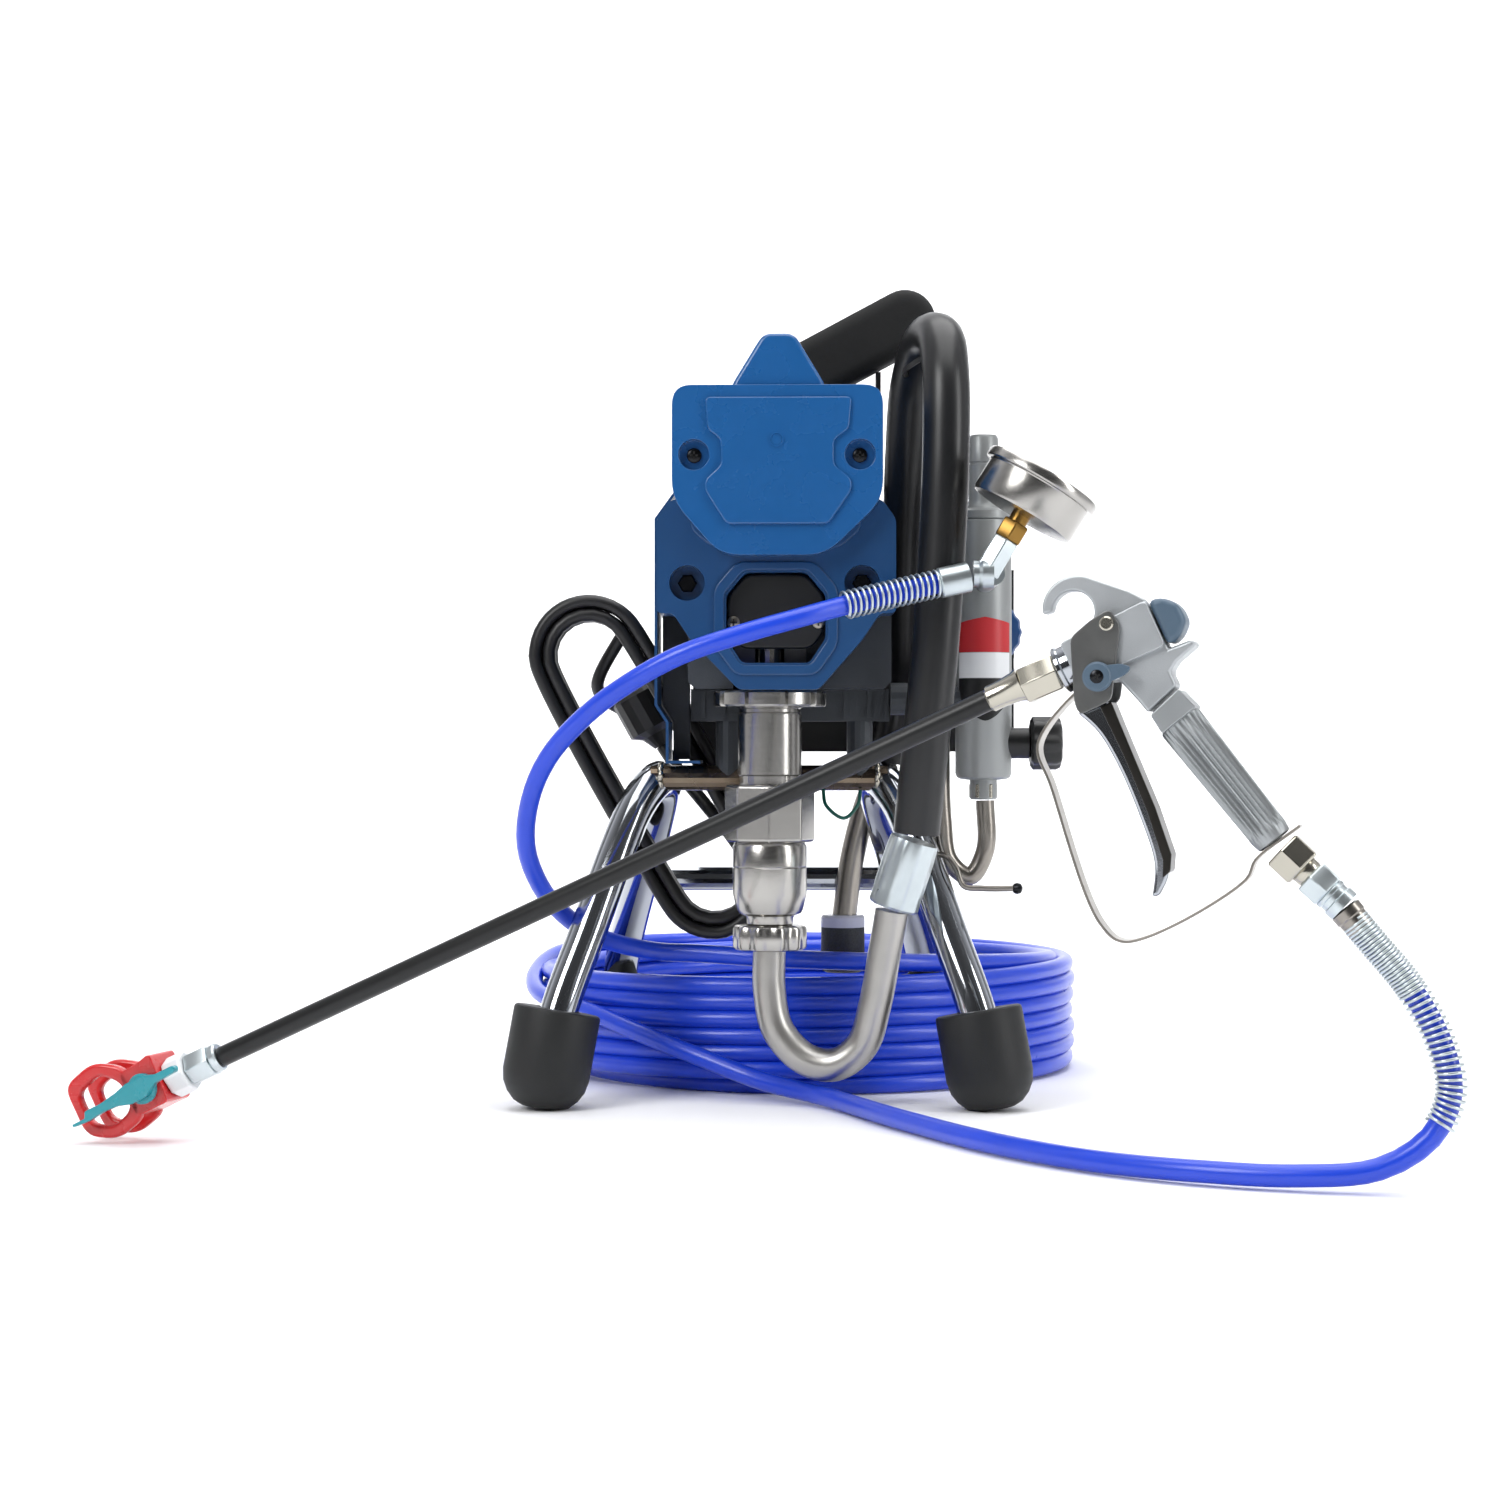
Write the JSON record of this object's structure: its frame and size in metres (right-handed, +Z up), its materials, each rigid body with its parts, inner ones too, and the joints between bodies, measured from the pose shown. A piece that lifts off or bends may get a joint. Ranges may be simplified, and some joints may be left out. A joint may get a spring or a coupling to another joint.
{
  "type": "airless paint sprayer",
  "caption": "Stand-mounted electric airless paint sprayer with pump, pressure gauge and filter, coiled pressure hose, suction hose, and a spray gun on an extension lance.",
  "frame": {"origin": "floor level, at the centre of the footprint box of machine, gun and lance without the hoses and leads", "axes": "+Z up, -Y towards the operator's front, +X to the right seen from the front"},
  "size_m": [0.6865, 0.7178, 0.4804],
  "materials": {
    "chrome": "polished",
    "chrome_bar": "satin",
    "boot_rubber": "matte",
    "casting": "matte",
    "housing_blue": "satin",
    "cover_blue": "satin",
    "black_plastic": "matte",
    "gear_steel": "satin",
    "knob_blue": "satin",
    "foam": "matte",
    "black_metal": "satin",
    "pump_steel": "polished",
    "tube_steel": "satin",
    "zinc": "satin",
    "hose_black": "satin",
    "strainer_grey": "satin",
    "filter_silver": "satin",
    "brass": "polished",
    "needle_black": "matte",
    "hose_blue": "gloss",
    "cord_black": "satin",
    "gun_silver": "satin",
    "grey_blue": "satin",
    "trigger_chrome": "polished",
    "guard_steel": "polished",
    "nickel": "polished",
    "lance_black": "satin",
    "guard_red": "gloss",
    "tip_teal": "gloss"
  },
  "bodies": {
    "machine": {"frame_left": "chrome", "frame_right": "chrome", "crossbar_front": "chrome_bar", "crossbar_rear": "chrome_bar", "foot_front_left": "boot_rubber", "foot_front_right": "boot_rubber", "foot_rear_left": "boot_rubber", "foot_rear_right": "boot_rubber", "gearbox_housing": "casting", "front_housing": "housing_blue", "front_cover": "cover_blue", "rod_cover": "black_plastic", "motor_housing": "casting", "motor_shroud": "housing_blue", "control_box": "black_plastic", "handle_grip": "foam", "handle_bracket": "black_metal", "jam_nut": "pump_steel", "pump_cylinder": "pump_steel", "pump_body": "pump_steel", "foot_valve": "pump_steel", "swivel_nut": "pump_steel", "suction_tube": "tube_steel", "suction_coupling": "zinc", "suction_hose": "hose_black", "strainer_tube": "tube_steel", "strainer": "strainer_grey", "filter_housing": "filter_silver", "filter_cap": "filter_silver", "filter_arm": "casting", "pressure_tube": "tube_steel", "gauge_tee": "brass", "gauge_case": "pump_steel", "paint_hose_a": "hose_blue", "paint_hose_b": "hose_blue", "paint_hose_coil": "hose_blue", "hose_spring_machine": "zinc", "hose_spring_gun": "zinc", "hose_end_gun": "zinc", "power_cord_lead": "cord_black", "power_cord_hank": "cord_black", "power_cord_plug": "cord_black", "gun_body": "gun_silver", "gun_rear_cap": "grey_blue", "gun_grip": "gun_silver", "trigger_guard": "guard_steel", "gun_swivel": "nickel", "lance": "lance_black", "tip_nut": "zinc"},
    "prime_knob": {"prime_knob": "black_plastic"},
    "pressure_knob": {"pressure_knob": "knob_blue"},
    "power_switch": {"power_switch": "black_plastic"},
    "pump_rod": {"pump_rod": "pump_steel"},
    "crank": {"crank_gear": "gear_steel"},
    "rotor": {"motor_rotor": "gear_steel"},
    "gauge_needle": {"gauge_needle": "needle_black"},
    "trigger": {"trigger": "trigger_chrome"},
    "trigger_lock": {"trigger_lock": "grey_blue"},
    "tip_guard": {"tip_guard": "guard_red"},
    "spray_tip": {"spray_tip": "tip_teal"}
  },
  "joints": [
    {"name": "prime_valve_turn", "type": "hinge", "parent": "machine", "child": "prime_knob", "pos_m": [0.2003, 0.0743, 0.209], "axis": [1, 0, 0], "range_deg": [0, 90]},
    {"name": "pressure_knob_turn", "type": "hinge", "parent": "machine", "child": "pressure_knob", "pos_m": [0.182, 0.1493, 0.277], "axis": [0, -1, 0], "range_deg": [0, 270]},
    {"name": "power_switch_rock", "type": "hinge", "parent": "machine", "child": "power_switch", "pos_m": [0.1956, 0.1863, 0.276], "axis": [0, 1, 0], "range_deg": [-7, 7]},
    {"name": "pump_stroke", "type": "slide", "parent": "machine", "child": "pump_rod", "axis": [0, 0, 1], "range_m": [-0.01, 0.01]},
    {"name": "rotor_turn", "type": "hinge", "parent": "machine", "child": "rotor", "pos_m": [0.048, 0.1243, 0.3], "axis": [0, 1, 0], "continuous": true},
    {"name": "crank_turn", "type": "hinge", "parent": "machine", "child": "crank", "pos_m": [0.048, 0.0743, 0.268], "axis": [0, 1, 0], "continuous": true},
    {"name": "gauge_needle_turn", "type": "hinge", "parent": "machine", "child": "gauge_needle", "pos_m": [0.19876, -0.0137, 0.35254], "axis": [-0.5151, 0, -0.8571], "range_deg": [0, 270], "stiffness_Nm_per_rad": 0.0005},
    {"name": "trigger_pull", "type": "hinge", "parent": "machine", "child": "trigger", "pos_m": [0.2138, -0.24205, 0.2643], "axis": [-0.2517, -0.9678, 0], "range_deg": [0, 10], "stiffness_Nm_per_rad": 2, "springref_deg": -11.46},
    {"name": "trigger_lock_turn", "type": "hinge", "parent": "trigger", "child": "trigger_lock", "pos_m": [0.20572, -0.25751, 0.23934], "axis": [-0.2517, -0.9678, 0], "range_deg": [0, 90]},
    {"name": "tip_guard_turn", "type": "hinge", "parent": "machine", "child": "tip_guard", "pos_m": [-0.27017, -0.1162, 0.02951], "axis": [0.8813, -0.2292, 0.4133], "range_deg": [-90, 90]},
    {"name": "tip_reverse", "type": "hinge", "parent": "tip_guard", "child": "spray_tip", "pos_m": [-0.2706, -0.11609, 0.02975], "axis": [0.2517, 0.9678, 0], "range_deg": [0, 180]}
  ],
  "couplings": [
    {"joint": "crank_turn", "follows": "rotor_turn", "ratio": -0.28}
  ]
}
